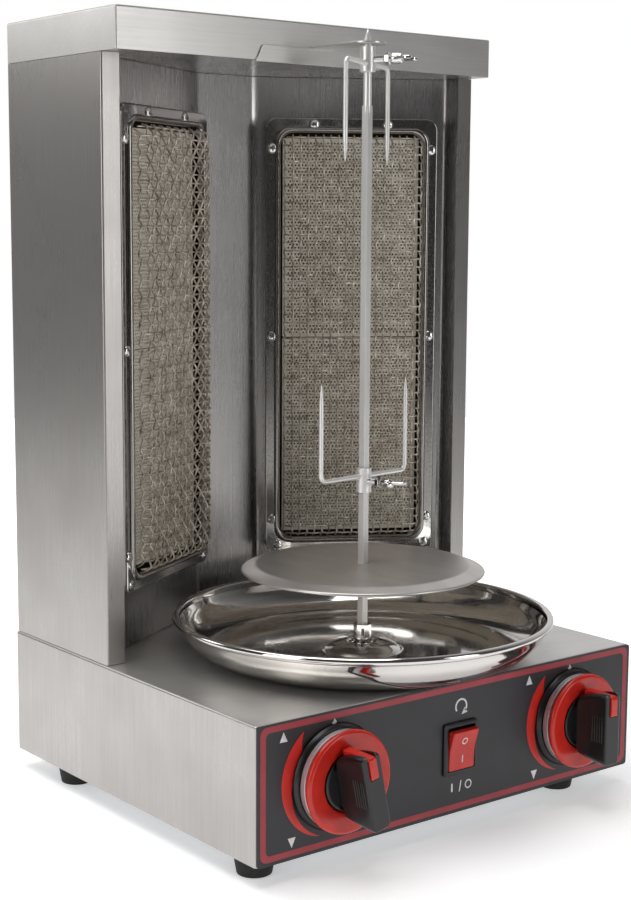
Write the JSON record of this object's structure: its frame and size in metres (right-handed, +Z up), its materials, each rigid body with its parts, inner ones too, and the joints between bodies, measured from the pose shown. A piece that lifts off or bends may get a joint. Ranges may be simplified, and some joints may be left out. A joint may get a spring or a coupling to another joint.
{
  "type": "vertical rotisserie broiler",
  "caption": "Bench-top gas broiler with angled infrared burners behind a turning vertical spit, a round drip pan and a front control panel.",
  "frame": {"origin": "on the table, under the middle of the whole object's box", "axes": "+Z up along the spit, +Y towards the back, +X to the right as the user faces the controls"},
  "size_m": [0.29, 0.3188, 0.4709],
  "materials": {
    "brushed_sheet": "brushed",
    "polished_steel": "polished",
    "galvanised_steel": "zinc plated",
    "burner_ceramic": "matte ceramic",
    "wire_mesh": "heat tinted",
    "brass_and_copper": "machined",
    "printed_panel": "printed",
    "black_plastic": "moulded",
    "red_plastic": "moulded",
    "black_rubber": "moulded"
  },
  "bodies": {
    "housing": {"base_shell": "brushed_sheet", "base_floor_plate": "galvanised_steel", "foot_front_left": "black_rubber", "foot_front_right": "black_rubber", "foot_back_left": "black_rubber", "foot_back_right": "black_rubber", "control_panel": "printed_panel", "column_shell": "brushed_sheet", "cavity_liner": "polished_steel", "cavity_ceiling": "galvanised_steel", "top_cap": "brushed_sheet", "top_bracket": "brushed_sheet", "burner_frame_left": "polished_steel", "burner_frame_right": "polished_steel", "burner_mesh_left": "wire_mesh", "burner_mesh_right": "wire_mesh", "burner_housing_left": "galvanised_steel", "burner_housing_right": "galvanised_steel", "ceramic_tile_lower_left": "burner_ceramic", "ceramic_tile_upper_left": "burner_ceramic", "ceramic_tile_lower_right": "burner_ceramic", "ceramic_tile_upper_right": "burner_ceramic", "venturi_left": "galvanised_steel", "venturi_right": "galvanised_steel", "injector_left": "brass_and_copper", "injector_right": "brass_and_copper", "gas_tube_left": "brass_and_copper", "gas_tube_right": "brass_and_copper", "gas_valve_left": "brass_and_copper", "gas_valve_right": "brass_and_copper", "gas_manifold": "galvanised_steel", "gas_inlet": "brass_and_copper", "cord_gland": "black_plastic", "knob_bezel_left": "black_plastic", "knob_bezel_right": "black_plastic", "switch_body": "black_plastic", "motor_bracket": "galvanised_steel", "gearmotor": "galvanised_steel", "shaft_bush": "brass_and_copper"},
    "spit": {"spit_socket": "polished_steel", "spit_rod": "polished_steel", "meat_plate": "brushed_sheet", "plate_collar": "polished_steel"},
    "upper_fork": {"fork_upper": "polished_steel"},
    "upper_bolt": {"wing_bolt_upper": "polished_steel"},
    "lower_fork": {"fork_lower": "polished_steel"},
    "lower_bolt": {"wing_bolt_lower": "polished_steel"},
    "left_knob": {"knob_body_left": "black_plastic", "knob_trim_left": "polished_steel", "knob_ring_left": "red_plastic", "knob_pointer_left": "red_plastic", "valve_stem_left": "brass_and_copper"},
    "right_knob": {"knob_body_right": "black_plastic", "knob_trim_right": "polished_steel", "knob_ring_right": "red_plastic", "knob_pointer_right": "red_plastic", "valve_stem_right": "brass_and_copper"},
    "rocker": {"switch_rocker": "red_plastic"},
    "pan": {"drip_pan": "polished_steel"}
  },
  "joints": [
    {"name": "spit_spin", "type": "hinge", "parent": "housing", "child": "spit", "pos_m": [0, -0.0349, 0.1], "axis": [0, 0, 1], "continuous": true},
    {"name": "upper_fork_slide", "type": "slide", "parent": "spit", "child": "upper_fork", "axis": [0, 0, -1], "range_m": [0, 0.11]},
    {"name": "lower_fork_slide", "type": "slide", "parent": "spit", "child": "lower_fork", "axis": [0, 0, 1], "range_m": [-0.035, 0.11]},
    {"name": "upper_bolt_turn", "type": "hinge", "parent": "upper_fork", "child": "upper_bolt", "pos_m": [0, -0.0349, 0.4463], "axis": [0.515, -0.8572, 0], "range_deg": [0, 360]},
    {"name": "lower_bolt_turn", "type": "hinge", "parent": "lower_fork", "child": "lower_bolt", "pos_m": [0, -0.0349, 0.1963], "axis": [0.1461, -0.9893, 0], "range_deg": [0, 360]},
    {"name": "left_knob_turn", "type": "hinge", "parent": "housing", "child": "left_knob", "pos_m": [-0.092, -0.1232, 0.0525], "axis": [0, -1, 0], "range_deg": [-12, 138]},
    {"name": "right_knob_turn", "type": "hinge", "parent": "housing", "child": "right_knob", "pos_m": [0.092, -0.1232, 0.0525], "axis": [0, -1, 0], "range_deg": [0, 150]},
    {"name": "rocker_tip", "type": "hinge", "parent": "housing", "child": "rocker", "pos_m": [0, -0.1232, 0.051], "axis": [-1, 0, 0], "range_deg": [0, 20]},
    {"name": "pan_lift", "type": "slide", "parent": "housing", "child": "pan", "axis": [0, 0, 1], "range_m": [0, 0.022]}
  ]
}
